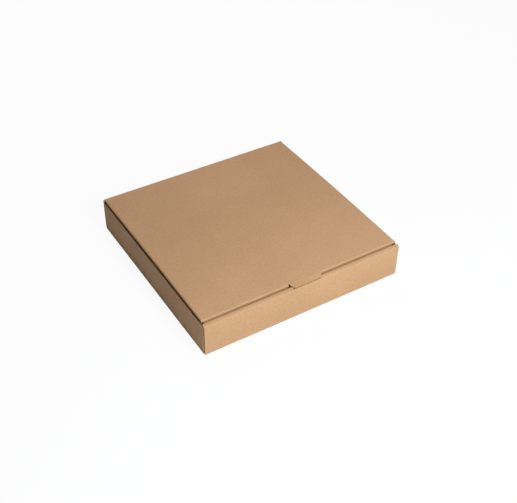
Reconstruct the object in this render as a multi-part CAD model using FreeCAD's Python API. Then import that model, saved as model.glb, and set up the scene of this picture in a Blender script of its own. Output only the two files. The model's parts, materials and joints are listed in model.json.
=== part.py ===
import FreeCAD, Part
import math
import os

# Pizza box of single-wall corrugated board, folded from one die-cut sheet, lid closed.
# Millimetres, +Z up. The front wall faces -Y and the lid's hinge fold is at the back, +Y.
# The origin is the middle of the underside.

Vector = FreeCAD.Vector

# Overall size of the closed box
width = 305.0                # outer faces of the side walls
depth = 298.0                # front wall's outer face to back wall's outer face
height = 54.0                # underside to the lid's top, at its hinge and at its front fold

# The board and its folds
board = 1.5                  # thickness of the corrugated board
fold_radius = 0.5            # inside radius of every fold

# Steps and gaps of the closed lid
lid_over_front = 3.3         # lid's top above the front wall's rolled top
lid_over_sides = 5.0         # lid's top above the side walls' cut edges
lid_side_inset = 1.2         # side wall's outer face to the lid's side edge
lid_front_gap = 1.2          # rolled front wall to the lid's front fold
lid_crown = 1.5              # rise of the lid between its hinge and its front fold
flap_clearance = 0.8         # side wall's inner face to the lid's side flap
hinge_clearance = 0.3        # back wall's top edge to the round edge of the lid

# Rolled front wall: outer panel, flat band on top, inner panel locked into the base
band_depth = 7.1             # outer face to inner face of the double wall
layer_gap = 0.3              # space between two layers of board that lie on each other
panel_side_gap = 0.5         # side wall's inner face to the rolled inner panel's end
base_gap = 0.5               # base panel to the lower edge of what stands on it
bottom_corner_radius = 4.0   # rounded lower corners of the outer front panel

# Lock tabs of the inner front panel, and their slots in the base
lock_offset = 85.0           # middle of the box to the middle of each lock tab
lock_length = 32.0
lock_recess = 0.3            # underside of the box to the lock tab's end
slot_gap = 0.4               # slot's edge to the lock tab, all round

# Corner flaps on both ends of each side wall
corner_flap_length = 46.0
corner_flap_taper = 5.0      # how far the free end is narrowed, above and below
corner_flap_drop = 1.0       # side wall's top edge to the corner flap's top edge

# Front tuck flap of the lid
tuck_slant = 5.0             # degrees from upright, towards the inside
tuck_floor_gap = 10.0        # base panel to the flap's free edge
tuck_side_gap = 0.6          # lid's side flap to the tuck flap's end
tuck_taper = 5.0
tuck_corner_radius = 10.0
lid_corner_relief = 0.8      # lid's side edge to the end of the front fold

# Side flaps of the lid
side_flap_floor_gap = 12.0   # base panel to the flap's free edge
side_flap_back_gap = 3.5     # back corner flap to the side flap
side_flap_taper = 9.0
side_flap_corner_radius = 8.0
shoulder_radius = 1.75       # inside radius of the bend that sets the flap inside the wall

# Thumb tab near the middle of the lid's front edge, and the notch that it lies in
tab_offset = 2.8             # middle of the box to the middle of the tab
tab_root_width = 48.0
tab_tip_width = 40.0
tab_tip_inset = 0.1          # front wall's outer face to the tab's tip
tab_droop = 8.8              # degrees that the tab bends down from the lid
tab_bend_radius = 5.0
tab_corner_radius = 1.5
tab_cut_gap = 0.6            # notch's sides and window's sides to the tab
tab_rest_gap = 0.35          # notch's floor to the tab's underside
notch_depth = 4.6            # front wall's outer face to the notch's back edge
left_relief_radius = 1.7     # torn open hole at the tab's left root
right_relief_radius = 0.6    # closed hole at its right root

# Hinge of the lid
hinge_side_inset = 1.8       # side wall's outer face to the hinge fold's end

# Places worked out from the sizes
half_width = width / 2
half_depth = depth / 2
fold_outer = fold_radius + board
fold_middle = fold_radius + board / 2
front_top = height - lid_over_front
side_top = height - lid_over_sides
hinge_y = half_depth - board / 2
hinge_z = height - board / 2
lid_half_width = half_width - lid_side_inset
lid_front_y = -half_depth + band_depth + lid_front_gap
panel_front_y = lid_front_y + fold_outer
side_end_y = half_depth - board - layer_gap
wall_foot_z = fold_outer + base_gap
flap_face_x = half_width - board - flap_clearance
side_flap_back_y = side_end_y - board - side_flap_back_gap
crown_chord = hinge_y - panel_front_y
crown_radius = (crown_chord ** 2 / 4 + lid_crown ** 2) / (2 * lid_crown)
crown_half = math.degrees(math.asin(crown_chord / 2 / crown_radius))
crown_y = (hinge_y + panel_front_y) / 2
crown_centre_z = hinge_z + lid_crown - crown_radius


def in_yz(x):
    """Maps (a, b) to the upright plane across the box at x."""
    return lambda a, b: Vector(x, a, b)


def in_xz(y):
    """Maps (a, b) to the upright plane along the box at y."""
    return lambda a, b: Vector(a, y, b)


def in_xy(z):
    """Maps (a, b) to the level plane at z."""
    return lambda a, b: Vector(a, b, z)


def run(length):
    """Straight stretch of board, as (length, turn in degrees, middle radius)."""
    return (length, 0.0, 0.0)


def bend(turn, middle_radius=fold_middle):
    """Bent stretch of board. A positive turn goes to the left."""
    return (0.0, turn, middle_radius)


def step(point, heading, move):
    """Middle of the board and its heading after one move."""
    length, turn, radius = move
    angle = math.radians(heading)
    if not turn:
        return (point[0] + length * math.cos(angle), point[1] + length * math.sin(angle)), heading
    side = math.copysign(1.0, turn)
    after = math.radians(heading + turn)
    return (
        point[0] + side * radius * (math.sin(after) - math.sin(angle)),
        point[1] - side * radius * (math.cos(after) - math.cos(angle)),
    ), heading + turn


def beside(point, heading, offset):
    """Point at the given distance to the left of the board's middle."""
    angle = math.radians(heading)
    return point[0] - offset * math.sin(angle), point[1] + offset * math.cos(angle)


def board_section(place, start, heading, moves, round_start=False):
    """Face of board thickness that follows the moves from its start."""
    half = board / 2
    sides = {half: [], -half: []}
    point = start
    for move in moves:
        length, turn, radius = move
        half_move = (length / 2, turn / 2, radius)
        middle, middle_heading = step(point, heading, half_move)
        after, after_heading = step(point, heading, move)
        for offset, edges in sides.items():
            a = place(*beside(point, heading, offset))
            b = place(*beside(middle, middle_heading, offset))
            c = place(*beside(after, after_heading, offset))
            edges.append(Part.Arc(a, b, c).toShape() if turn else Part.makeLine(a, c))
        if move is moves[0]:
            corners = [place(*beside(point, heading, offset)) for offset in (half, -half)]
            nose = place(*step(point, heading, run(-half))[0])
        point, heading = after, after_heading
    ends = [place(*beside(point, heading, offset)) for offset in (half, -half)]
    cap = Part.Arc(corners[0], nose, corners[1]).toShape() if round_start else Part.makeLine(*corners)
    edges = sides[half] + [Part.makeLine(*ends)] + sides[-half] + [cap]
    return Part.Face(Part.Wire(Part.__sortEdges__(edges)))


def outline(place, points, radii):
    """Face with straight sides, each corner rounded by its own radius."""
    corners = []
    for i, radius in enumerate(radii):
        corner = Vector(*points[i], 0)
        before = Vector(*points[i - 1], 0) - corner
        after = Vector(*points[(i + 1) % len(points)], 0) - corner
        before.normalize()
        after.normalize()
        opening = before.getAngle(after)
        if radius:
            reach = radius / math.tan(opening / 2)
            inward = (before + after).normalize()
            middle = corner + inward * (radius / math.sin(opening / 2) - radius)
            corners.append((corner + before * reach, middle, corner + after * reach))
        else:
            corners.append((corner, None, corner))
    edges = []
    for i, (first, middle, last) in enumerate(corners):
        if middle:
            arc = [place(p.x, p.y) for p in (first, middle, last)]
            edges.append(Part.Arc(*arc).toShape())
        following = corners[(i + 1) % len(corners)][0]
        edges.append(Part.makeLine(place(last.x, last.y), place(following.x, following.y)))
    return Part.Face(Part.Wire(edges))


def block(low, high):
    """Box between two corners."""
    size = Vector(*high) - Vector(*low)
    return Part.makeBox(size.x, size.y, size.z, Vector(*low))


def mirrored(shape):
    """The same shape on the other side of the box."""
    return shape.mirror(Vector(0, 0, 0), Vector(1, 0, 0))


def base_panel():
    """Flat base, with a slot for each lock tab."""
    edge_x = half_width - fold_outer
    edge_y = half_depth - fold_outer
    panel = block((-edge_x, -edge_y, 0), (edge_x, edge_y, board))
    inner_face = -half_depth + band_depth
    slot = block(
        (lock_offset - lock_length / 2 - slot_gap, inner_face - board - slot_gap, -board),
        (lock_offset + lock_length / 2 + slot_gap, inner_face + slot_gap, 2 * board),
    )
    return panel.cut(slot).cut(mirrored(slot))


def side_wall():
    """Left side wall: its fold from the base, its panel, and the folds at both ends."""
    foot = board_section(
        in_xz(-side_end_y + fold_outer),
        (-half_width + board / 2, wall_foot_z),
        -90.0,
        [run(wall_foot_z - fold_outer), bend(90.0)],
    ).extrude(Vector(0, 2 * (side_end_y - fold_outer), 0))
    panel = board_section(
        in_xy(wall_foot_z),
        (-half_width + fold_outer, -side_end_y + board / 2),
        180.0,
        [bend(-90.0), run(2 * (side_end_y - fold_outer)), bend(-90.0)],
    ).extrude(Vector(0, 0, side_top - wall_foot_z))
    return foot.fuse(panel)


def corner_flap(outer_y, inward):
    """Flap on the end of the left side wall, with its outer face at outer_y."""
    root_x = -half_width + fold_outer
    free_x = root_x + corner_flap_length
    low = wall_foot_z
    high = side_top - corner_flap_drop
    free_low = low + corner_flap_taper
    free_high = high - corner_flap_taper
    points = [(root_x, low), (free_x, free_low), (free_x, free_high), (root_x, high)]
    face = outline(in_xz(outer_y), points, [0, corner_flap_taper, corner_flap_taper, 0])
    return face.extrude(Vector(0, inward * board, 0))


def front_wall():
    """Outer panel folded up from the base, rolled over a flat band, down to the inner panel."""
    rise = front_top - 2 * fold_outer
    first_moves = [bend(-90.0), run(rise), bend(-90.0), run(band_depth - 2 * fold_outer)]
    start = (-half_depth + fold_outer, board / 2)
    outer = board_section(in_yz(-half_width), start, 180.0, first_moves).extrude(Vector(width, 0, 0))
    inner_end = half_width - board - panel_side_gap
    drop = front_top - fold_outer - board - base_gap
    inner = board_section(
        in_yz(-inner_end),
        (-half_depth + band_depth - fold_outer, front_top - board / 2),
        0.0,
        [bend(-90.0), run(drop)],
    ).extrude(Vector(2 * inner_end, 0, 0))
    return outer.fuse(inner)


def lock_tab():
    """Tab below the inner front panel that stands in its slot in the base."""
    inner_face = -half_depth + band_depth
    return block(
        (lock_offset - lock_length / 2, inner_face - board, lock_recess),
        (lock_offset + lock_length / 2, inner_face, board + base_gap),
    )


def back_wall():
    """Back wall folded up from the base, cut off just below the hinge fold."""
    top = hinge_z - board / 2 - hinge_clearance
    section = board_section(
        in_yz(-half_width),
        (half_depth - fold_outer, board / 2),
        0.0,
        [bend(90.0), run(top - fold_outer)],
    )
    return section.extrude(Vector(width, 0, 0))


def rounded_corner_cut():
    """What the rounded lower left corner of the outer front panel leaves away."""
    r = bottom_corner_radius
    front_y = -half_depth - board
    middle = Vector(-half_width + r, front_y, r)
    square = block((-half_width - board, front_y, -board), (middle.x, -half_depth + fold_outer, r))
    return square.cut(Part.makeCylinder(r, fold_outer + board, middle, Vector(0, 1, 0)))


def tab_edge(side, y, clearance=0.0):
    """The thumb tab's left (-1) or right (1) edge at a distance y along the box."""
    tip_y = -half_depth + tab_tip_inset
    share = (y - tip_y) / (panel_front_y - tip_y)
    half = (tab_tip_width + share * (tab_root_width - tab_tip_width)) / 2
    return tab_offset + side * (half + clearance)


def tab_tip_underside():
    """Height of the tab's underside at its tip."""
    point, heading = step((panel_front_y, hinge_z), 180.0 + crown_half, bend(tab_droop, tab_bend_radius))
    slope = math.radians(heading - 180.0)
    reach = point[0] + half_depth - tab_tip_inset
    return point[1] - reach * math.tan(slope) - board / 2 / math.cos(slope)


def cut_notch(wall):
    """Opens the band for the thumb tab and leaves the outer panel's lip standing below it."""
    front_y = -half_depth - board
    back_y = -half_depth + notch_depth
    corners = [
        (tab_edge(-1, front_y, tab_cut_gap), front_y),
        (tab_edge(1, front_y, tab_cut_gap), front_y),
        (tab_edge(1, back_y, tab_cut_gap), back_y),
        (tab_edge(-1, back_y, tab_cut_gap), back_y),
    ]
    low = front_top - fold_outer
    opening = outline(in_xy(low), corners, [0, 0, tab_corner_radius, tab_corner_radius])
    lip_y = -half_depth + board
    lip = block(
        (tab_edge(-1, lip_y, tab_cut_gap), -half_depth, low),
        (tab_edge(1, lip_y, tab_cut_gap), lip_y, tab_tip_underside() - tab_rest_gap),
    )
    return wall.cut(opening.extrude(Vector(0, 0, 2 * fold_outer))).fuse(lip)


def make_tray():
    """Base, four walls and corner flaps, as one folded piece."""
    front = cut_notch(front_wall())
    corner = rounded_corner_cut()
    front = front.cut(corner).cut(mirrored(corner))
    left = [
        side_wall(),
        corner_flap(-side_end_y, 1),
        corner_flap(side_end_y, -1),
        lock_tab(),
    ]
    pieces = [front, back_wall()] + left + [mirrored(piece) for piece in left]
    return base_panel().multiFuse(pieces).removeSplitter()


def crowned_panel(half):
    """Crowned panel between the lid's hinge and its front fold, of the given half width."""
    start = (hinge_y, hinge_z)
    crown = bend(2 * crown_half, crown_radius)
    section = board_section(in_yz(-half), start, 180.0 - crown_half, [crown], round_start=True)
    return section.extrude(Vector(2 * half, 0, 0))


def lid_panel():
    """Top panel up to its side folds, and behind those the full width of its hinge."""
    hinge_half = half_width - hinge_side_inset
    behind_flaps = block((-width, side_flap_back_y + base_gap, 0), (width, depth, 2 * height))
    return crowned_panel(lid_half_width - fold_outer).fuse(crowned_panel(hinge_half).common(behind_flaps))


def tuck_flap():
    """Fold along the lid's front edge and the flap that tucks in behind the front wall."""
    start = (panel_front_y, hinge_z)
    heading = 180.0 + crown_half
    fold = bend(90.0 - crown_half + tuck_slant)
    fold_half = lid_half_width - lid_corner_relief
    fold_part = board_section(in_yz(-fold_half), start, heading, [fold]).extrude(Vector(2 * fold_half, 0, 0))
    root, slope = step(start, heading, fold)
    slope_down = math.radians(slope)
    length = (root[1] - board - tuck_floor_gap) / -math.sin(slope_down)
    root_half = flap_face_x - board - tuck_side_gap
    free_half = root_half - tuck_taper
    points = [(-root_half, 0), (-free_half, length), (free_half, length), (root_half, 0)]
    face_y, face_z = beside(root, slope, board / 2)

    def on_flap(a, b):
        return Vector(a, face_y + b * math.cos(slope_down), face_z + b * math.sin(slope_down))

    flap = outline(on_flap, points, [0, tuck_corner_radius, tuck_corner_radius, 0])
    through = Vector(0, math.sin(slope_down), -math.cos(slope_down)) * board
    return fold_part.fuse(flap.extrude(through))


def side_flap():
    """Left side fold of the lid, the shoulder under it and the flap inside the side wall."""
    shoulder_middle = shoulder_radius + board / 2
    shift = flap_face_x - lid_half_width
    shoulder = math.degrees(math.acos(1 + shift / (fold_middle + shoulder_middle)))
    section = board_section(
        in_xz(crown_y),
        (-lid_half_width + fold_outer, hinge_z + lid_crown),
        180.0,
        [bend(90.0 + shoulder), bend(-shoulder, shoulder_middle), run(height)],
    )
    section.rotate(Vector(0, crown_y, crown_centre_z), Vector(1, 0, 0), -crown_half)
    folded = section.revolve(Vector(0, crown_y, crown_centre_z), Vector(1, 0, 0), 2 * crown_half)
    front_y = panel_front_y + base_gap
    back_y = side_flap_back_y
    root_z = side_top
    free_z = board + side_flap_floor_gap
    top_z = height + lid_crown + board
    points = [
        (front_y, top_z),
        (front_y, root_z),
        (front_y + side_flap_taper, free_z),
        (back_y - side_flap_taper, free_z),
        (back_y, root_z),
        (back_y, top_z),
    ]
    radii = [0, 0, side_flap_corner_radius, side_flap_corner_radius, 0, 0]
    keep = outline(in_yz(-half_width), points, radii).extrude(Vector(half_width, 0, 0))
    return folded.common(keep)


def thumb_tab():
    """Tab that runs on from the lid's top over the rolled front wall."""
    tip_y = -half_depth + tab_tip_inset
    reach = panel_front_y - tip_y
    left_x = tab_edge(-1, panel_front_y)
    right_x = tab_edge(1, panel_front_y)
    section = board_section(
        in_yz(left_x),
        (panel_front_y, hinge_z),
        180.0 + crown_half,
        [bend(tab_droop, tab_bend_radius), run(2 * reach)],
    )
    strip = section.extrude(Vector(tab_root_width, 0, 0))
    points = [
        (tab_edge(-1, tip_y), tip_y),
        (tab_edge(1, tip_y), tip_y),
        (right_x, panel_front_y),
        (right_x, half_depth),
        (left_x, half_depth),
        (left_x, panel_front_y),
    ]
    radii = [tab_corner_radius, tab_corner_radius, 0, 0, 0, 0]
    return strip.common(outline(in_xy(0), points, radii).extrude(Vector(0, 0, 2 * height)))


def cut_tab_window(flap):
    """Window that the thumb tab leaves in the tuck flap, with the holes at its roots."""
    reach = panel_front_y + half_depth
    left_x = tab_edge(-1, panel_front_y)
    right_x = tab_edge(1, panel_front_y)
    low = height - fold_outer - reach
    upper_z = hinge_z - board / 2 - base_gap
    upper = block((left_x, -half_depth, upper_z), (right_x, panel_front_y, 2 * height))
    points = [
        (tab_edge(-1, -half_depth, tab_cut_gap), low),
        (tab_edge(1, -half_depth, tab_cut_gap), low),
        (right_x, upper_z),
        (left_x, upper_z),
    ]
    radii = [tab_corner_radius, tab_corner_radius, 0, 0]
    lower = outline(in_xz(-half_depth), points, radii).extrude(Vector(0, half_depth, 0))
    holes = []
    for x, radius in ((left_x, left_relief_radius), (right_x, right_relief_radius)):
        middle = Vector(x, lid_front_y + fold_outer / 2, low)
        holes.append(Part.makeCylinder(radius, height, middle))
    return flap.cut(upper).cut(lower).cut(holes)


def make_lid():
    """Top panel, tuck flap, side flaps and thumb tab, as one folded piece."""
    left_flap = side_flap()
    pieces = [cut_tab_window(tuck_flap()), thumb_tab(), left_flap, mirrored(left_flap)]
    return lid_panel().multiFuse(pieces).removeSplitter()


os.makedirs("parts", exist_ok=True)
for name, shape in (("tray", make_tray()), ("lid", make_lid())):
    shape.exportStep("parts/" + name + ".step")
    box = shape.BoundBox
    print(name, "solids", len(shape.Solids), "valid", shape.isValid(), "volume", round(shape.Volume))
    print("  x", round(box.XMin, 2), round(box.XMax, 2), "y", round(box.YMin, 2), round(box.YMax, 2),
          "z", round(box.ZMin, 2), round(box.ZMax, 2))
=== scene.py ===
import json
import math

import bmesh
import bpy
from mathutils import Matrix, Vector

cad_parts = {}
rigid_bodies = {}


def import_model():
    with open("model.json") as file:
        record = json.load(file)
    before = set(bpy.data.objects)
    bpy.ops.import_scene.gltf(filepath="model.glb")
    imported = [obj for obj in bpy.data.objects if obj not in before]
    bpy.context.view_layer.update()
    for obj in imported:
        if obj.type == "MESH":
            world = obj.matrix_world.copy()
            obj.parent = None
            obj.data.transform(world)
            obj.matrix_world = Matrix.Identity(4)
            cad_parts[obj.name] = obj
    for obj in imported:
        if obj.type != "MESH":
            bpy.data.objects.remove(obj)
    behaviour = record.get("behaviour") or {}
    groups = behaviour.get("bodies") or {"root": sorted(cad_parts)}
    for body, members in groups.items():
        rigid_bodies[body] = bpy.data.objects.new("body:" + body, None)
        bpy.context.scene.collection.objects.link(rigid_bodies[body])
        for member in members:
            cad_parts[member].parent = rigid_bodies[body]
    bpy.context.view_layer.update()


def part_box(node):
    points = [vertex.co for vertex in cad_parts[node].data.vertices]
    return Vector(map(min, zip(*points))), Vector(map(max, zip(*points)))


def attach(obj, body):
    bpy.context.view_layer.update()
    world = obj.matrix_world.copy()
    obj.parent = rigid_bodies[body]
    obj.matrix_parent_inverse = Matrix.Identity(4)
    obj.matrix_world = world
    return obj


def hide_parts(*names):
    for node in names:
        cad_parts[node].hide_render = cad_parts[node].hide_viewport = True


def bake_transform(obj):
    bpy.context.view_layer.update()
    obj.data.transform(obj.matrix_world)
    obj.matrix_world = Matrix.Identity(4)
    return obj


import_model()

# Lengths are in metres and angles in degrees
MM = 0.001
MICRON = 0.001 * MM
LEVEL_TOLERANCE = 0.05 * MICRON


def srgb(red, green, blue):
    """Linear colour with alpha from 0 to 255 display values."""
    return tuple(
        part / 12.92 if part <= 0.04045 else ((part + 0.055) / 1.055) ** 2.4
        for part in (red / 255, green / 255, blue / 255)
    ) + (1.0,)


# Sizes that the frame gives
_, tray_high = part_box("tray")
_, lid_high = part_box("lid")
HALF_WIDTH = tray_high.x
HALF_DEPTH = tray_high.y
LID_HALF_WIDTH = lid_high.x

# The board: two liners with a wavy medium between them
BOARD = 1.5 * MM
LINER = 0.22 * MM
MEDIUM = 0.16 * MM
FLUTE_PITCH = 3.2 * MM
FLUTE_DEPTH = 2.4 * MM
TIP_SLOT_DEPTH = 0.6 * MM
FOLD_INNER = 0.5 * MM
FOLD_OUTER = FOLD_INNER + BOARD
FOLD_MIDDLE = FOLD_INNER + BOARD / 2
FOLD_STEPS = 8
CORNER_STEPS = 6
CELLS_PER_FLUTE = 10

# Heights of the closed box
HINGE_GAP = 0.3 * MM
HEIGHT = tray_high.z + HINGE_GAP + BOARD
FRONT_TOP = HEIGHT - 3.3 * MM
SIDE_TOP = HEIGHT - 5.0 * MM

# Rolled front wall, corner flaps and lock tabs
BAND_DEPTH = 6.7 * MM
BAND_TILT = 12.0
BAND_REAR_RISE = 0.3 * MM
ROLL_MIDDLE = 1.75 * MM
REAR_MIDDLE = 0.8 * MM
FRONT_INSET = 0.6 * MM
LAYER_GAP = 0.3 * MM
PANEL_GAP = 0.5 * MM
BASE_GAP = 0.5 * MM
BOTTOM_CORNER = 4.0 * MM
BOTTOM_CORNER_SIDES = 48
LOCK_OFFSET = 85.0 * MM
LOCK_LENGTH = 32.0 * MM
LOCK_RECESS = 0.3 * MM
SLOT_GAP = 0.4 * MM
CORNER_FLAP = 46.0 * MM
CORNER_TAPER = 5.0 * MM
CORNER_DROP = 1.0 * MM

# Lid
LID_FRONT_GAP = 1.6 * MM
CROWN = 1.5 * MM
CROWN_CELLS = 28
FLAP_GAP = 0.8 * MM
TUCK_SLANT = 5.0
TUCK_UNDERCUT = 20.0
TUCK_HEM = 1.2 * MM
TUCK_FLOOR = 10.0 * MM
TUCK_SIDE_GAP = 0.6 * MM
TUCK_TAPER = 5.0 * MM
TUCK_CORNER = 10.0 * MM
LID_RELIEF = 0.1 * MM
SIDE_FLAP_FLOOR = 12.0 * MM
SIDE_FLAP_BACK_GAP = 3.5 * MM
SIDE_FLAP_TAPER = 9.0 * MM
SIDE_FLAP_CORNER = 8.0 * MM
SHOULDER_MIDDLE = 2.5 * MM
TAB_OFFSET = 2.8 * MM
TAB_ROOT = 48.0 * MM
TAB_TIP = 40.0 * MM
TAB_DROOP = 7.0
TAB_BEND = 30.0 * MM
TAB_CORNER = 1.5 * MM
TAB_CUT_GAP = 0.6 * MM
TAB_REST_GAP = 0.6 * MM
TAB_TIP_INSET = 0.1 * MM
NOTCH_DEPTH = 4.6 * MM
LEFT_RELIEF = 1.7 * MM
RIGHT_RELIEF = 0.6 * MM
RELIEF_SIDES = 24

# Hinge fold
HINGE_HALF_WIDTH = HALF_WIDTH - 1.8 * MM
EAR_LAP = 1.0 * MM
CREASE_LAP = 1.5 * MM
CREASE_PROUD = 0.02 * MM

# Kraft paper: scales per metre, shares of the mix, heights of the bumps, and colours
CLOUD_SCALE = 9.0
CLOUD_DETAIL = 2.0
CLOUD_SHARE = 0.25
MOTTLE_SCALE = 420.0
MOTTLE_DETAIL = 4.0
MOTTLE_GRAIN = 0.65
MOTTLE_SHARE = 0.4
MOTTLE_HEIGHT = 0.03 * MM
FIBRE_SCALE = 900.0
FIBRE_DETAIL = 2.0
FIBRE_SHARE = 0.35
FIBRE_HEIGHT = 0.02 * MM
FIBRE_ALONG = (0.22, 1.0, 1.0)
FIBRE_ASLANT = (1.0, 0.25, 0.6)
TONE_LOW = 0.38
TONE_HIGH = 0.62
FLECK_SCALE = 700.0
FLECK_DETAIL = 1.0
FLECK_LOW = 0.68
FLECK_HIGH = 0.76
FLECK_SHARE = 0.35
FLECK_COLOUR = srgb(150, 110, 78)
WASHBOARD_HEIGHT = 0.006 * MM
LINER_DARK = srgb(180, 142, 105)
LINER_LIGHT = srgb(198, 159, 121)
# The medium's colours are its paper's own brown, made darker and redder as painted shade for the shade
# deep in flute openings and slots
MEDIUM_DARK_AND_SHADE = srgb(138, 94, 54)
MEDIUM_LIGHT_AND_SHADE = srgb(160, 114, 70)
LEAST_ROUGHNESS = 0.78
ROUGHNESS_SPREAD = 0.14
SPECULAR = 0.25

# Studio: each lamp's place and side length in metres, power in watts, and colour
WHITE = (1.0, 1.0, 1.0, 1.0)
FLOOR_SIZE = 20.0
FLOOR_COLOUR = (0.88, 0.9, 0.94, 1.0)
FLOOR_ROUGHNESS = 0.9
FLOOR_WHITENING = 0.92
UNDER_INSET = 4.5 * MM
AMBIENT = 0.03
LAMPS = {
    "front_lamp": ((-0.03, -0.85, 0.75), 0.4, 12.6, (0.96, 0.985, 0.985)),
    "rear_lamp": ((0.3, 1.25, 0.95), 0.8, 11.2, (1.0, 0.9, 0.88)),
    "right_lamp": ((1.3, -0.1, 0.35), 0.8, 3.0, (1.0, 1.0, 1.0)),
    "left_lamp": ((-1.3, -0.45, 0.3), 0.8, 0.95, (0.8, 0.9, 1.05)),
}

# Camera of the photograph, with its sensor in millimetres
CAMERA_AZIMUTH = -32.43
CAMERA_ELEVATION = 40.22
CAMERA_ROLL = 1.12
CAMERA_DISTANCE = 1.2742
CAMERA_RIGHT = 0.01635
CAMERA_UP = -0.00133
FOCAL_PIXELS = 884.9
IMAGE_WIDTH = 517
SENSOR = 36.0

# Places worked out from the sizes
HINGE_Y = HALF_DEPTH - BOARD / 2
HINGE_Z = HEIGHT - BOARD / 2
SIDE_END = HALF_DEPTH - BOARD - LAYER_GAP
FRONT_END = HALF_WIDTH - FRONT_INSET
WALL_FOOT = FOLD_OUTER + BASE_GAP
FOLD_Y = HALF_DEPTH - FOLD_OUTER
FOLD_X = HALF_WIDTH - FOLD_OUTER
INNER_FACE = -HALF_DEPTH + BAND_DEPTH
PANEL_FRONT = INNER_FACE + LID_FRONT_GAP + FOLD_OUTER
PANEL_BACK = HALF_DEPTH - FOLD_OUTER
FLAP_FACE = HALF_WIDTH - BOARD - FLAP_GAP
FLAP_FRONT = PANEL_FRONT + BASE_GAP
FLAP_BACK = SIDE_END - BOARD - SIDE_FLAP_BACK_GAP

# How square on and how near a face lies to count as a cut edge
SQUARE_ON = 0.9999
MOSTLY_SQUARE_ON = 0.9
EDGE_TOLERANCE = 0.005 * MM

# Edges that turn by less are shaded smooth
SMOOTH_ANGLE = 30.0

X = Vector((1, 0, 0))
Y = Vector((0, 1, 0))
Z = Vector((0, 0, 1))
PLANES = {"yz": (Y, Z, X), "xz": (X, Z, Y), "xy": (X, Y, Z)}


def deselect():
    """Leaves nothing selected, in object mode."""
    if bpy.context.object and bpy.context.object.mode != "OBJECT":
        bpy.ops.object.mode_set(mode="OBJECT")
    bpy.ops.object.select_all(action="DESELECT")


def activate(piece):
    """Selects one piece alone."""
    deselect()
    piece.select_set(True)
    bpy.context.view_layer.objects.active = piece


def add_modifier(piece, kind, **settings):
    """Adds a modifier, sets it and applies it."""
    activate(piece)
    modifier = piece.modifiers.new(kind.lower(), kind)
    for name, value in settings.items():
        setattr(modifier, name, value)
    bpy.ops.object.modifier_apply(modifier=modifier.name)


def tidy_mesh(piece):
    """Puts level faces exactly level, merges doubles and turns every face outwards."""
    for vertex in piece.data.vertices:
        for axis, place in enumerate(vertex.co):
            level = round(place / MICRON) * MICRON
            if abs(place - level) < LEVEL_TOLERANCE:
                vertex.co[axis] = level
    activate(piece)
    bpy.ops.object.mode_set(mode="EDIT")
    bpy.ops.mesh.select_all(action="SELECT")
    bpy.ops.mesh.remove_doubles(threshold=MICRON)
    bpy.ops.mesh.normals_make_consistent(inside=False)
    bpy.ops.object.mode_set(mode="OBJECT")


def join(pieces, name):
    """Joins pieces into one object of that name."""
    deselect()
    for piece in pieces:
        piece.select_set(True)
    bpy.context.view_layer.objects.active = pieces[0]
    bpy.ops.object.join()
    pieces[0].name = name
    return pieces[0]


def unite(pieces, name):
    """Fuses closed pieces into one closed skin."""
    whole = pieces[0]
    for piece in pieces[1:]:
        add_modifier(whole, "BOOLEAN", operation="UNION", solver="EXACT", object=piece)
        bpy.data.objects.remove(piece)
    whole.name = name
    tidy_mesh(whole)
    return whole


def cut(piece, cutters):
    """Takes closed cutters away from a piece."""
    for cutter in cutters:
        add_modifier(piece, "BOOLEAN", operation="DIFFERENCE", solver="EXACT", object=cutter)
        bpy.data.objects.remove(cutter)
    tidy_mesh(piece)


def mirror_copy(piece):
    """The same piece on the other side of the box."""
    copy = piece.copy()
    copy.data = piece.data.copy()
    bpy.context.scene.collection.objects.link(copy)
    activate(copy)
    bpy.ops.object.mode_set(mode="EDIT")
    bpy.ops.mesh.select_all(action="SELECT")
    bpy.ops.transform.mirror(constraint_axis=(True, False, False), center_override=(0, 0, 0))
    bpy.ops.object.mode_set(mode="OBJECT")
    tidy_mesh(copy)
    return copy


def run(length):
    """Straight stretch of board."""
    return {"length": length, "turn": 0.0, "radius": 0.0}


def fold(turn, radius=FOLD_MIDDLE, steps=FOLD_STEPS):
    """Folded stretch of board. A positive turn, in degrees, goes to the left."""
    return {"length": abs(math.radians(turn)) * radius, "turn": turn, "radius": radius, "steps": steps}


class Path:
    """Middle of a strip of board in one plane: a start, a heading in degrees, and moves."""

    def __init__(self, plane, start, heading, *moves):
        self.first, self.second, self.across = PLANES[plane]
        self.start, self.heading, self.moves = start, heading, moves
        self.length = sum(move["length"] for move in moves)

    def place(self, point, across):
        return self.first * point[0] + self.second * point[1] + self.across * across

    def direction(self, heading):
        angle = math.radians(heading)
        return self.first * math.cos(angle) + self.second * math.sin(angle)

    def advance(self, point, heading, move, share):
        """Point and heading after a share of one move."""
        angle = math.radians(heading)
        if not move["turn"]:
            reach = move["length"] * share
            return (point[0] + reach * math.cos(angle), point[1] + reach * math.sin(angle)), heading
        side = math.copysign(1.0, move["turn"])
        after = math.radians(heading + move["turn"] * share)
        return (
            point[0] + side * move["radius"] * (math.sin(after) - math.sin(angle)),
            point[1] - side * move["radius"] * (math.cos(after) - math.cos(angle)),
        ), heading + move["turn"] * share

    def at(self, distance):
        """Point and heading at a distance along the path."""
        point, heading = self.start, self.heading
        for move in self.moves:
            if distance <= move["length"]:
                return self.advance(point, heading, move, distance / move["length"])
            point, heading = self.advance(point, heading, move, 1.0)
            distance -= move["length"]
        return point, heading


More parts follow.
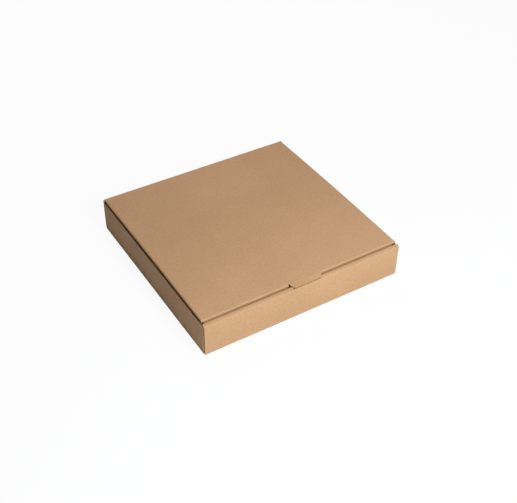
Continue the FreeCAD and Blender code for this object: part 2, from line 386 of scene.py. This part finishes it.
def grow(name, path, low, high, narrow=0.0, corner=0.0, waist=None, wide_moves=0):
    """Closed strip of board from low to high across its path, with a narrowed, rounded free end.

    After its wide moves, a strip with a waist goes on at that half width alone.
    """
    deselect()
    beside = path.direction(path.heading + 90)
    turned = Matrix((path.across, beside, path.across.cross(beside))).transposed()
    bpy.ops.mesh.primitive_plane_add(
        size=1, location=path.place(path.start, (low + high) / 2), rotation=turned.to_euler()
    )
    strip = bpy.context.object
    strip.name = name
    strip.scale = (high - low, BOARD, 1)
    bpy.ops.object.transform_apply(location=True, rotation=True, scale=True)
    bpy.ops.object.mode_set(mode="EDIT")
    bpy.ops.mesh.select_all(action="SELECT")
    if waist:
        for side in (-1, 1):
            bpy.ops.mesh.bisect(plane_co=path.across * side * waist, plane_no=path.across)
            bpy.ops.mesh.select_all(action="SELECT")
        high = waist
        low = -waist
    point, heading = path.start, path.heading
    for number, move in enumerate(path.moves):
        if waist and number == wide_moves:
            select_within(strip, path.across, waist)
        if move["turn"]:
            side = math.copysign(1.0, move["turn"])
            bpy.ops.mesh.spin(
                steps=move["steps"],
                angle=math.radians(abs(move["turn"])),
                center=path.place(point, 0) + path.direction(heading + 90) * side * move["radius"],
                axis=path.first.cross(path.second) * -side,
            )
        else:
            ahead = path.direction(heading) * move["length"]
            bpy.ops.mesh.extrude_region_move(TRANSFORM_OT_translate={"value": ahead})
        point, heading = path.advance(point, heading, move, 1.0)
    if narrow:
        shrink = 1 - 2 * narrow / (high - low)
        bpy.ops.transform.resize(
            value=[shrink if axis else 1.0 for axis in path.across],
            center_override=path.place(point, (low + high) / 2),
        )
    if corner:
        round_corners(strip, path.across, corner)
    bpy.ops.object.mode_set(mode="OBJECT")
    tidy_mesh(strip)
    return strip


def select_within(strip, across, reach):
    """Keeps only the selected faces that lie within reach of the middle, in edit mode."""
    mesh = bmesh.from_edit_mesh(strip.data)
    for face in mesh.faces:
        if face.select and abs(face.calc_center_median().dot(across)) > reach:
            face.select_set(False)
    bmesh.update_edit_mesh(strip.data)


def round_corners(strip, across, radius):
    """Rounds the two corners of the selected free end, in edit mode."""
    mesh = bmesh.from_edit_mesh(strip.data)
    free_end = [face for face in mesh.faces if face.select][0]
    bpy.ops.mesh.select_mode(type="EDGE")
    bpy.ops.mesh.select_all(action="DESELECT")
    for edge in free_end.edges:
        along = (edge.verts[0].co - edge.verts[1].co).normalized()
        edge.select_set(abs(along.dot(across)) < SQUARE_ON)
    bmesh.update_edit_mesh(strip.data)
    bpy.ops.mesh.bevel(offset=radius, segments=CORNER_STEPS, affect="EDGES")
    bpy.ops.mesh.select_mode(type="FACE")


def prism(name, plane, points, low, high):
    """Closed cutter with a straight-sided outline in a plane, from low to high across it."""
    path = Path(plane, (0, 0), 0)
    deselect()
    bpy.ops.mesh.primitive_circle_add(vertices=len(points), fill_type="NGON")
    cutter = bpy.context.object
    cutter.name = name
    for vertex, point in zip(cutter.data.vertices, points):
        vertex.co = path.place(point, low)
    bpy.ops.object.mode_set(mode="EDIT")
    bpy.ops.mesh.select_all(action="SELECT")
    bpy.ops.mesh.extrude_region_move(TRANSFORM_OT_translate={"value": path.across * (high - low)})
    bpy.ops.object.mode_set(mode="OBJECT")
    tidy_mesh(cutter)
    return cutter


def rod(name, middle, radius, low, high):
    """Closed upright cutter with a round section."""
    deselect()
    bpy.ops.mesh.primitive_cylinder_add(
        vertices=RELIEF_SIDES, radius=radius, depth=high - low, location=(*middle, (low + high) / 2)
    )
    cutter = bpy.context.object
    cutter.name = name
    bpy.ops.object.transform_apply(location=True, rotation=True, scale=True)
    return cutter


def open_rim(piece, is_rim, depth):
    """Sinks the chosen cut edges between the two liners. What is sunk shows the medium's paper, whose
    darker brown is partly painted shade.
    """
    activate(piece)
    bpy.ops.object.mode_set(mode="EDIT")
    bpy.ops.mesh.select_mode(type="FACE")
    bpy.ops.mesh.select_all(action="DESELECT")
    mesh = bmesh.from_edit_mesh(piece.data)
    for face in mesh.faces:
        face.select_set(is_rim(face.calc_center_median(), face.normal))
    bmesh.update_edit_mesh(piece.data)
    bpy.ops.mesh.inset(thickness=LINER, use_even_offset=False)
    bpy.ops.mesh.extrude_region_move()
    sink_selected(piece, depth)
    bpy.ops.mesh.select_more()
    mesh = bmesh.from_edit_mesh(piece.data)
    for face in mesh.faces:
        if face.select:
            face.material_index = 1
    bmesh.update_edit_mesh(piece.data)
    bpy.ops.object.mode_set(mode="OBJECT")


def sink_selected(piece, depth):
    """Moves the selected faces inwards by depth, in edit mode.

    Each corner moves against its faces' mean normal, weighted by area, so that slivers don't turn it.
    """
    mesh = bmesh.from_edit_mesh(piece.data)
    sunk = []
    for vertex in mesh.verts:
        if vertex.select:
            outward = Vector()
            for face in vertex.link_faces:
                if face.select:
                    outward += face.normal * face.calc_area()
            sunk.append((vertex, outward.normalized() * depth))
    for vertex, reach in sunk:
        vertex.co -= reach
    bmesh.update_edit_mesh(piece.data)


def medium(name, path, across, inward):
    """Wavy medium along a cut edge: it follows the path and reaches inward from the edge."""
    deselect()
    cells = round(path.length / FLUTE_PITCH * CELLS_PER_FLUTE)
    bpy.ops.mesh.primitive_grid_add(x_subdivisions=cells, y_subdivisions=1, size=1)
    ribbon = bpy.context.object
    ribbon.name = name
    swing = BOARD / 2 - LINER - MEDIUM / 2
    for vertex in ribbon.data.vertices:
        distance = (vertex.co.x + 0.5) * path.length
        depth = MEDIUM + (vertex.co.y + 0.5) * FLUTE_DEPTH
        point, heading = path.at(distance)
        wave = swing * math.sin(2 * math.pi * distance / FLUTE_PITCH)
        aside = path.direction(heading + 90) * wave
        vertex.co = path.place(point, across + inward * depth) + aside
    add_modifier(ribbon, "SOLIDIFY", thickness=MEDIUM, offset=0)
    tidy_mesh(ribbon)
    return ribbon


# Paths of the tray's strips of board
BASE = Path("yz", (-FOLD_Y, BOARD / 2), 0, run(2 * FOLD_Y))
tilt_sine = math.sin(math.radians(BAND_TILT))
tilt_cosine = math.cos(math.radians(BAND_TILT))
band_run = (
    BAND_DEPTH - BOARD - ROLL_MIDDLE * (1 - tilt_sine) - REAR_MIDDLE * (1 + tilt_sine)
) / tilt_cosine
roll_rise = (ROLL_MIDDLE - REAR_MIDDLE) * tilt_cosine + band_run * tilt_sine
inner_start = FRONT_TOP + BAND_REAR_RISE - REAR_MIDDLE - BOARD / 2
ROLL_START = inner_start - roll_rise
OUTER_MOVES = [
    fold(-90), run(ROLL_START - FOLD_OUTER), fold(BAND_TILT - 90, ROLL_MIDDLE), run(band_run),
]
INNER_MOVES = [fold(-90 - BAND_TILT, REAR_MIDDLE), run(inner_start - BOARD - BASE_GAP)]
FRONT_WALL = Path("yz", (-FOLD_Y, BOARD / 2), 180, *OUTER_MOVES, *INNER_MOVES)
FRONT_OUTER = Path("yz", (-FOLD_Y, BOARD / 2), 180, *OUTER_MOVES)
FRONT_INNER = Path("yz", FRONT_OUTER.at(FRONT_OUTER.length)[0], BAND_TILT, *INNER_MOVES)
LOCK_TAB = Path(
    "yz", (INNER_FACE - BOARD / 2, BOARD + BASE_GAP), -90, run(BOARD + BASE_GAP - LOCK_RECESS)
)
BACK_WALL = Path("yz", (FOLD_Y, BOARD / 2), 0, fold(90), run(HEIGHT - 2 * FOLD_OUTER))
SIDE_FOOT = Path("xz", (-FOLD_X, BOARD / 2), 180, fold(-90), run(WALL_FOOT - FOLD_OUTER))
SIDE_WALL = Path(
    "xy", (-FOLD_X, -SIDE_END + BOARD / 2), 180, fold(-90), run(2 * (SIDE_END - FOLD_OUTER)), fold(-90)
)

# Paths of the lid's strips, as they lie before the lid is crowned
LID_PANEL = Path("yz", (PANEL_BACK, HINGE_Z), 180, run(PANEL_BACK - PANEL_FRONT))
TUCK_MOVES = [
    fold(90 + TUCK_SLANT + TUCK_UNDERCUT), run(TUCK_HEM), fold(-TUCK_UNDERCUT, SHOULDER_MIDDLE),
]
tuck_top = Path("yz", (PANEL_FRONT, HINGE_Z), 180, *TUCK_MOVES)
tuck_root = tuck_top.at(tuck_top.length)[0]
tuck_length = (tuck_root[1] - BOARD - TUCK_FLOOR) / math.cos(math.radians(TUCK_SLANT))
TUCK_FLAP = Path("yz", (PANEL_FRONT, HINGE_Z), 180, *TUCK_MOVES, run(tuck_length))
shoulder_shift = LID_HALF_WIDTH - FLAP_FACE
SHOULDER = math.degrees(math.acos(1 - shoulder_shift / (FOLD_MIDDLE + SHOULDER_MIDDLE)))
shoulder_drop = (FOLD_MIDDLE + SHOULDER_MIDDLE) * math.sin(math.radians(SHOULDER)) + FOLD_MIDDLE
SIDE_FLAP = Path(
    "xz", (-LID_HALF_WIDTH + FOLD_OUTER, HINGE_Z), 180,
    fold(90 + SHOULDER), fold(-SHOULDER, SHOULDER_MIDDLE),
    run(HINGE_Z - shoulder_drop - BOARD - SIDE_FLAP_FLOOR),
)
THUMB_TAB = Path(
    "yz", (PANEL_FRONT, HINGE_Z), 180, fold(TAB_DROOP, TAB_BEND),
    run(HALF_DEPTH - TAB_TIP_INSET + PANEL_FRONT - TAB_BEND * math.sin(math.radians(TAB_DROOP))),
)


def corner_flap(end):
    """Path of a corner flap of the left side wall, at its front (-1) or back (1) end."""
    return Path("xy", (-FOLD_X, end * (SIDE_END - BOARD / 2)), 0, run(CORNER_FLAP))


def tab_edge(side, y, gap=0.0):
    """The thumb tab's left (-1) or right (1) edge at y, with a gap beside it."""
    tip = -HALF_DEPTH + TAB_TIP_INSET
    share = (y - tip) / (PANEL_FRONT - tip)
    return TAB_OFFSET + side * (gap + (TAB_TIP + share * (TAB_ROOT - TAB_TIP)) / 2)


def round_foot(wall, end, side):
    """Rounds the two lower corners of the front (-1) or back (1) wall, whose half length is end."""
    r = BOTTOM_CORNER
    low, high = sorted((side * (HALF_DEPTH + r), side * FOLD_Y))
    for x in (-end, end):
        inward = math.copysign(r, -x)
        square = prism(
            "corner_cut", "xz",
            [(x - inward, -r), (x + inward, -r), (x + inward, r), (x - inward, r)], low, high,
        )
        deselect()
        bpy.ops.mesh.primitive_cylinder_add(
            vertices=BOTTOM_CORNER_SIDES, radius=r, depth=4 * r,
            location=(x + inward, side * HALF_DEPTH, r), rotation=(math.radians(90), 0, 0),
        )
        keep = bpy.context.object
        bpy.ops.object.transform_apply(location=True, rotation=True, scale=True)
        cut(square, [keep])
        cut(wall, [square])


def front_notch():
    """Cutter that makes room for the thumb tab in the band's outer edge."""
    near = -HALF_DEPTH - BOARD
    deep = -HALF_DEPTH + NOTCH_DEPTH
    outline = [
        (tab_edge(-1, near, TAB_CUT_GAP), near), (tab_edge(1, near, TAB_CUT_GAP), near),
        (tab_edge(1, deep, TAB_CUT_GAP), deep), (tab_edge(-1, deep, TAB_CUT_GAP), deep),
    ]
    return prism("notch", "xy", outline, ROLL_START, FRONT_TOP + BOARD)


def front_lip():
    """The front wall's outer panel where the band is notched: it ends just under the thumb tab."""
    lip_y = -HALF_DEPTH + BOARD
    tab_tip = THUMB_TAB.at(THUMB_TAB.length)[0]
    lip_rise = tab_tip[1] - BOARD / 2 - TAB_REST_GAP - ROLL_START
    path = Path("yz", (-HALF_DEPTH + BOARD / 2, ROLL_START), 90, run(lip_rise))
    return grow("lip", path, tab_edge(-1, lip_y, TAB_CUT_GAP), tab_edge(1, lip_y, TAB_CUT_GAP))


def lock_slot(side):
    """Cutter for the left (-1) or right (1) slot of the base, in which a lock tab stands."""
    half = LOCK_LENGTH / 2 + SLOT_GAP
    x = side * LOCK_OFFSET
    front, back = INNER_FACE - BOARD - SLOT_GAP, INNER_FACE + SLOT_GAP
    outline = [(x - half, front), (x + half, front), (x + half, back), (x - half, back)]
    return prism("slot", "xy", outline, -BOARD, 2 * BOARD)


def build_tray():
    """Base, walls, rolled front and corner flaps as one skin of board."""
    flap_top = SIDE_TOP - CORNER_DROP
    left = [
        grow("side_foot", SIDE_FOOT, -SIDE_END + FOLD_OUTER, SIDE_END - FOLD_OUTER),
        grow("side_wall", SIDE_WALL, WALL_FOOT, SIDE_TOP),
        grow("lock_tab", LOCK_TAB, -LOCK_OFFSET - LOCK_LENGTH / 2, -LOCK_OFFSET + LOCK_LENGTH / 2),
    ]
    for end in (-1, 1):
        left.append(
            grow("corner_flap", corner_flap(end), WALL_FOOT, flap_top, CORNER_TAPER, CORNER_TAPER)
        )
    right = [mirror_copy(piece) for piece in left]
    inner_end = HALF_WIDTH - BOARD - PANEL_GAP
    front = grow(
        "front_wall", FRONT_WALL, -FRONT_END, FRONT_END, waist=inner_end, wide_moves=len(OUTER_MOVES)
    )
    round_foot(front, FRONT_END, -1)
    back = grow("back_wall", BACK_WALL, -HALF_WIDTH, HALF_WIDTH)
    round_foot(back, HALF_WIDTH, 1)
    cut(front, [front_notch()])
    lip = front_lip()
    base = grow("base", BASE, -FOLD_X, FOLD_X)
    for side in (-1, 1):
        cut(base, [lock_slot(side)])
    tray = unite([base, front, lip, back] + left + right, "tray_board")

    def is_fluted(centre, normal):
        """Cut edges that cross the flutes."""
        if normal.z > SQUARE_ON:
            return abs(centre.z - SIDE_TOP) < EDGE_TOLERANCE or abs(centre.z - flap_top) < EDGE_TOLERANCE
        end = FRONT_END if centre.y < 0 else HALF_WIDTH
        outer_end = abs(abs(centre.x) - end) < EDGE_TOLERANCE and abs(centre.y) > SIDE_END
        rolled_end = (
            abs(abs(centre.x) - inner_end) < EDGE_TOLERANCE
            and INNER_FACE - FOLD_OUTER < centre.y < INNER_FACE
        )
        return abs(normal.x) > SQUARE_ON and (outer_end or rolled_end)

    open_rim(tray, is_fluted, FLUTE_DEPTH + MEDIUM)
    flutes = []
    for side in (-1, 1):
        flutes.append(medium("medium", FRONT_OUTER, side * FRONT_END, -side))
        flutes.append(medium("medium", FRONT_INNER, side * inner_end, -side))
        flutes.append(medium("medium", BACK_WALL, side * HALF_WIDTH, -side))
    left_flutes = medium("medium", SIDE_WALL, SIDE_TOP, -1)
    flutes += [left_flutes, mirror_copy(left_flutes)]
    return tray, join(flutes, "tray_medium")


def crown(y):
    """Rise of the lid above flat at y."""
    middle = (PANEL_BACK + PANEL_FRONT) / 2
    half = (PANEL_BACK - PANEL_FRONT) / 2
    share = min(1.0, abs(y - middle) / half)
    return CROWN * (1 - share * share)


def crown_piece(piece):
    """Divides a piece across its depth and lifts it to the lid's crown."""
    activate(piece)
    bpy.ops.object.mode_set(mode="EDIT")
    for number in range(1, CROWN_CELLS):
        y = PANEL_FRONT + (PANEL_BACK - PANEL_FRONT) * number / CROWN_CELLS
        bpy.ops.mesh.select_all(action="SELECT")
        bpy.ops.mesh.bisect(plane_co=(0, y, 0), plane_no=(0, 1, 0))
    bpy.ops.object.mode_set(mode="OBJECT")
    for vertex in piece.data.vertices:
        vertex.co.z += crown(vertex.co.y)


def tab_cutters(left, right):
    """Cutters for the window that the thumb tab leaves, and for the relief hole at each of its roots."""
    under = HINGE_Z - BOARD / 2 - BASE_GAP
    low = HEIGHT - FOLD_OUTER - (PANEL_FRONT + HALF_DEPTH)
    outline = [
        (tab_edge(-1, -HALF_DEPTH, TAB_CUT_GAP), low), (tab_edge(1, -HALF_DEPTH, TAB_CUT_GAP), low),
        (right, under), (right, 2 * HEIGHT), (left, 2 * HEIGHT), (left, under),
    ]
    relief_y = INNER_FACE + LID_FRONT_GAP + FOLD_OUTER / 2
    return [
        prism("window", "xz", outline, -HALF_DEPTH, PANEL_FRONT),
        rod("left_hole", (left, relief_y), LEFT_RELIEF, low, HEIGHT + low),
        rod("right_hole", (right, relief_y), RIGHT_RELIEF, low, HEIGHT + low),
    ]


def build_lid():
    """Top panel, folds, flaps and thumb tab as one skin of board."""
    fold_start = LID_HALF_WIDTH - FOLD_OUTER
    panel = grow("lid_panel", LID_PANEL, -fold_start, fold_start)
    rear = Path("yz", (PANEL_BACK, HINGE_Z), 180, run(PANEL_BACK - FLAP_BACK - BASE_GAP))
    ears = [grow("ear", rear, fold_start - EAR_LAP, HINGE_HALF_WIDTH)]
    ears.append(mirror_copy(ears[0]))
    flaps = [grow("side_flap", SIDE_FLAP, FLAP_FRONT, FLAP_BACK, SIDE_FLAP_TAPER, SIDE_FLAP_CORNER)]
    flaps.append(mirror_copy(flaps[0]))
    fold_half = LID_HALF_WIDTH - LID_RELIEF
    root_half = FLAP_FACE - BOARD - TUCK_SIDE_GAP
    tuck = grow(
        "tuck_flap", TUCK_FLAP, -fold_half, fold_half, TUCK_TAPER, TUCK_CORNER,
        waist=root_half, wide_moves=1,
    )
    left, right = tab_edge(-1, PANEL_FRONT), tab_edge(1, PANEL_FRONT)
    cut(tuck, tab_cutters(left, right))
    tab = grow("thumb_tab", THUMB_TAB, left, right, (TAB_ROOT - TAB_TIP) / 2, TAB_CORNER)
    lid = unite([panel, tuck, tab] + ears + flaps, "lid_board")

    def is_fluted(centre, normal):
        """The side flaps' free edges, which cross the flutes."""
        free_edge = normal.z < -SQUARE_ON and abs(centre.z - BOARD - SIDE_FLAP_FLOOR) < EDGE_TOLERANCE
        return free_edge and abs(centre.x) > FLAP_FACE - BOARD

    def is_tab_tip(centre, normal):
        """The thumb tab's front edge."""
        return centre.y < -HALF_DEPTH + BOARD and normal.y < -MOSTLY_SQUARE_ON

    open_rim(lid, is_fluted, FLUTE_DEPTH + MEDIUM)
    # The tab's tip shows the medium's paper in its sunk middle; that darker brown is partly painted
    # shade for the dark line under the tip
    open_rim(lid, is_tab_tip, TIP_SLOT_DEPTH)
    edge = Path(
        "xy", (-FLAP_FACE + BOARD / 2, FLAP_FRONT + SIDE_FLAP_TAPER + SIDE_FLAP_CORNER), 90,
        run(FLAP_BACK - FLAP_FRONT - 2 * (SIDE_FLAP_TAPER + SIDE_FLAP_CORNER)),
    )
    left_flutes = medium("medium", edge, BOARD + SIDE_FLAP_FLOOR, 1)
    flutes = join([left_flutes, mirror_copy(left_flutes)], "lid_medium")
    crown_piece(lid)
    crown_piece(flutes)
    return lid, flutes


def build_hinge():
    """The scored fold between the back wall and the lid."""
    path = Path(
        "yz", (HINGE_Y, HEIGHT - FOLD_OUTER - CREASE_LAP), 90, run(CREASE_LAP), fold(90), run(CREASE_LAP)
    )
    crease = grow("hinge_crease", path, -HINGE_HALF_WIDTH, HINGE_HALF_WIDTH)
    activate(crease)
    bpy.ops.object.mode_set(mode="EDIT")
    bpy.ops.mesh.select_all(action="SELECT")
    bpy.ops.transform.shrink_fatten(value=CREASE_PROUD)
    bpy.ops.object.mode_set(mode="OBJECT")
    return crease


class Value:
    """A socket of a material. Arithmetic on it adds Math nodes."""

    def __init__(self, finish, socket):
        self.finish, self.socket = finish, socket

    def math(self, operation, *others):
        return self.finish.node("ShaderNodeMath", {"operation": operation}, self, *others)

    def __add__(self, other):
        return self.math("ADD", other)

    def __sub__(self, other):
        return self.math("SUBTRACT", other)

    def __rsub__(self, other):
        return self.finish.node("ShaderNodeMath", {"operation": "SUBTRACT"}, other, self)

    def __mul__(self, other):
        return self.math("MULTIPLY", other)

    __radd__ = __add__
    __rmul__ = __mul__


class Finish:
    """A node material, written as expressions."""

    def __init__(self, name):
        self.material = bpy.data.materials.new(name)
        self.material.use_nodes = True
        self.tree = self.material.node_tree
        self.shader = self.tree.nodes["Principled BSDF"]

    def node(self, kind, settings, *values, output=0, **named):
        """Adds a node: its settings first, then the values or links of its sockets."""
        made = self.tree.nodes.new(kind)
        for name, value in settings.items():
            setattr(made, name, value)
        for key, value in list(enumerate(values)) + list(named.items()):
            self.feed(made.inputs[key], value)
        return Value(self, made.outputs[output])

    def feed(self, socket, value):
        if isinstance(value, Value):
            self.tree.links.new(value.socket, socket)
        else:
            socket.default_value = value

    def place(self):
        """The piece's own coordinates."""
        return self.node("ShaderNodeTexCoord", {}, output="Object")

    def axis(self, place, name):
        """The X, Y or Z of a place."""
        return self.node("ShaderNodeSeparateXYZ", {}, place, output=name)

    def stretch(self, place, scale):
        return self.node("ShaderNodeMapping", {}, place, Scale=scale)

    def noise(self, place, scale, detail, grain=0.5):
        return self.node(
            "ShaderNodeTexNoise", {}, Vector=place, Scale=scale, Detail=detail, Roughness=grain
        )

    def ramp(self, value, low, high):
        """0 below low, 1 above high, straight between."""
        return self.node(
            "ShaderNodeMapRange", {"clamp": True}, value, **{"From Min": low, "From Max": high}
        )

    def mix(self, share, first, second):
        """Colour between first and second. Sockets 6 and 7 and output 2 are a Mix node's colours."""
        made = self.tree.nodes.new("ShaderNodeMix")
        made.data_type = "RGBA"
        for number, value in ((0, share), (6, first), (7, second)):
            self.feed(made.inputs[number], value)
        return Value(self, made.outputs[2])


def kraft(name, dark, light, washboard):
    """Unbleached kraft paper: clouded brown with long fibres and flecks."""
    finish = Finish(name)
    place = finish.place()
    cloud = finish.noise(place, CLOUD_SCALE, CLOUD_DETAIL)
    mottle = finish.noise(place, MOTTLE_SCALE, MOTTLE_DETAIL, MOTTLE_GRAIN)
    along = finish.noise(finish.stretch(place, FIBRE_ALONG), FIBRE_SCALE, FIBRE_DETAIL)
    aslant = finish.noise(finish.stretch(place, FIBRE_ASLANT), FIBRE_SCALE, FIBRE_DETAIL)
    fibres = (along + aslant) * 0.5
    blend = cloud * CLOUD_SHARE + mottle * MOTTLE_SHARE + fibres * FIBRE_SHARE
    colour = finish.mix(finish.ramp(blend, TONE_LOW, TONE_HIGH), dark, light)
    fleck = finish.ramp(finish.noise(place, FLECK_SCALE, FLECK_DETAIL), FLECK_LOW, FLECK_HIGH)
    colour = finish.mix(fleck * FLECK_SHARE, colour, FLECK_COLOUR)
    finish.feed(finish.shader.inputs["Base Color"], colour)
    finish.feed(finish.shader.inputs["Roughness"], LEAST_ROUGHNESS + mottle * ROUGHNESS_SPREAD)
    finish.feed(finish.shader.inputs["Specular IOR Level"], SPECULAR)
    height = mottle * MOTTLE_HEIGHT + fibres * FIBRE_HEIGHT
    if washboard:
        wave = (finish.axis(place, "Y") * (2 * math.pi / FLUTE_PITCH)).math("SINE")
        height = height + wave * WASHBOARD_HEIGHT
    bump = finish.node("ShaderNodeBump", {}, Height=height, Strength=1.0, Distance=1.0)
    finish.feed(finish.shader.inputs["Normal"], bump)
    return finish.material


def dress(piece, materials, body, *replaced):
    """Gives a finished piece its materials, shading, body and material slot."""
    activate(piece)
    bpy.ops.object.shade_smooth_by_angle(angle=math.radians(SMOOTH_ANGLE))
    for material in materials:
        piece.data.materials.append(material)
    if body:
        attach(piece, body)
    if replaced:
        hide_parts(*replaced)


def area_lamp(name, place, size, power, colour):
    """Soft square lamp that looks at the box."""
    deselect()
    bpy.ops.object.light_add(type="AREA", location=place)
    lamp = bpy.context.object
    lamp.name = name
    lamp.data.size = size
    lamp.data.energy = power
    lamp.data.color = colour
    lamp.rotation_euler = (-Vector(place)).to_track_quat("-Z", "Y").to_euler()


def build_floor():
    """Plain pale floor, whitened to the camera. Under the box it stays as it is lit."""
    deselect()
    bpy.ops.mesh.primitive_plane_add(size=FLOOR_SIZE, location=(0, 0, 0))
    floor = bpy.context.object
    floor.name = "floor"
    finish = Finish("pale_floor")
    finish.feed(finish.shader.inputs["Base Color"], FLOOR_COLOUR)
    finish.feed(finish.shader.inputs["Roughness"], FLOOR_ROUGHNESS)
    place = finish.place()
    under_x = finish.axis(place, "X").math("ABSOLUTE").math("LESS_THAN", HALF_WIDTH - UNDER_INSET)
    under_y = finish.axis(place, "Y").math("ABSOLUTE").math("LESS_THAN", HALF_DEPTH - UNDER_INSET)
    from_below = finish.node("ShaderNodeNewGeometry", {}, output="Backfacing")
    seen = finish.node("ShaderNodeLightPath", {}, output="Is Camera Ray")
    share = seen * (1 - under_x * under_y * (1 - from_below)) * FLOOR_WHITENING
    lit = Value(finish, finish.shader.outputs["BSDF"])
    white = finish.node("ShaderNodeEmission", {}, Color=WHITE, Strength=1.0)
    whitened = finish.node("ShaderNodeMixShader", {}, share, lit, white)
    finish.feed(finish.tree.nodes["Material Output"].inputs["Surface"], whitened)
    floor.data.materials.append(finish.material)


def build_backdrop():
    """World that is white to the camera and lights the box only faintly."""
    world = bpy.data.worlds.new("studio")
    bpy.context.scene.world = world
    world.use_nodes = True
    nodes, links = world.node_tree.nodes, world.node_tree.links
    ambient = nodes["Background"]
    ambient.inputs["Color"].default_value = WHITE
    ambient.inputs["Strength"].default_value = AMBIENT
    backdrop = nodes.new("ShaderNodeBackground")
    backdrop.inputs["Color"].default_value = WHITE
    path = nodes.new("ShaderNodeLightPath")
    chosen = nodes.new("ShaderNodeMixShader")
    links.new(path.outputs["Is Camera Ray"], chosen.inputs[0])
    links.new(ambient.outputs[0], chosen.inputs[1])
    links.new(backdrop.outputs[0], chosen.inputs[2])
    links.new(chosen.outputs[0], nodes["World Output"].inputs["Surface"])


def place_camera():
    """Camera at the photograph's viewing angle."""
    azimuth = math.radians(CAMERA_AZIMUTH)
    elevation = math.radians(CAMERA_ELEVATION)
    roll = math.radians(CAMERA_ROLL)
    reach = math.cos(elevation)
    back = Vector((math.sin(azimuth) * reach, -math.cos(azimuth) * reach, math.sin(elevation)))
    level = (-back).cross(Z).normalized()
    upright = level.cross(-back)
    right = level * math.cos(roll) + upright * math.sin(roll)
    up = upright * math.cos(roll) - level * math.sin(roll)
    data = bpy.data.cameras.new("camera")
    data.sensor_fit = "HORIZONTAL"
    data.sensor_width = SENSOR
    data.lens = FOCAL_PIXELS * SENSOR / IMAGE_WIDTH
    camera = bpy.data.objects.new("camera", data)
    bpy.context.scene.collection.objects.link(camera)
    turned = Matrix((right, up, back)).transposed().to_4x4()
    turned.translation = back * CAMERA_DISTANCE + right * CAMERA_RIGHT + up * CAMERA_UP
    camera.matrix_world = turned
    bpy.context.scene.camera = camera


tray, tray_medium = build_tray()
lid, lid_medium = build_lid()
hinge = build_hinge()
liner = kraft("kraft_liner", LINER_DARK, LINER_LIGHT, washboard=True)
# Medium paper: its own brown, partly painted shade
wavy = kraft("kraft_medium_and_shade", MEDIUM_DARK_AND_SHADE, MEDIUM_LIGHT_AND_SHADE, washboard=False)
dress(tray, (liner, wavy), "tray", "tray")
dress(lid, (liner, wavy), "lid", "lid")
dress(tray_medium, (wavy,), "tray")
dress(lid_medium, (wavy,), "lid")
dress(hinge, (liner,), None)
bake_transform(hinge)
build_floor()
build_backdrop()
for lamp_name, lamp_values in LAMPS.items():
    area_lamp(lamp_name, *lamp_values)
place_camera()
bpy.context.scene.view_settings.view_transform = "Standard"
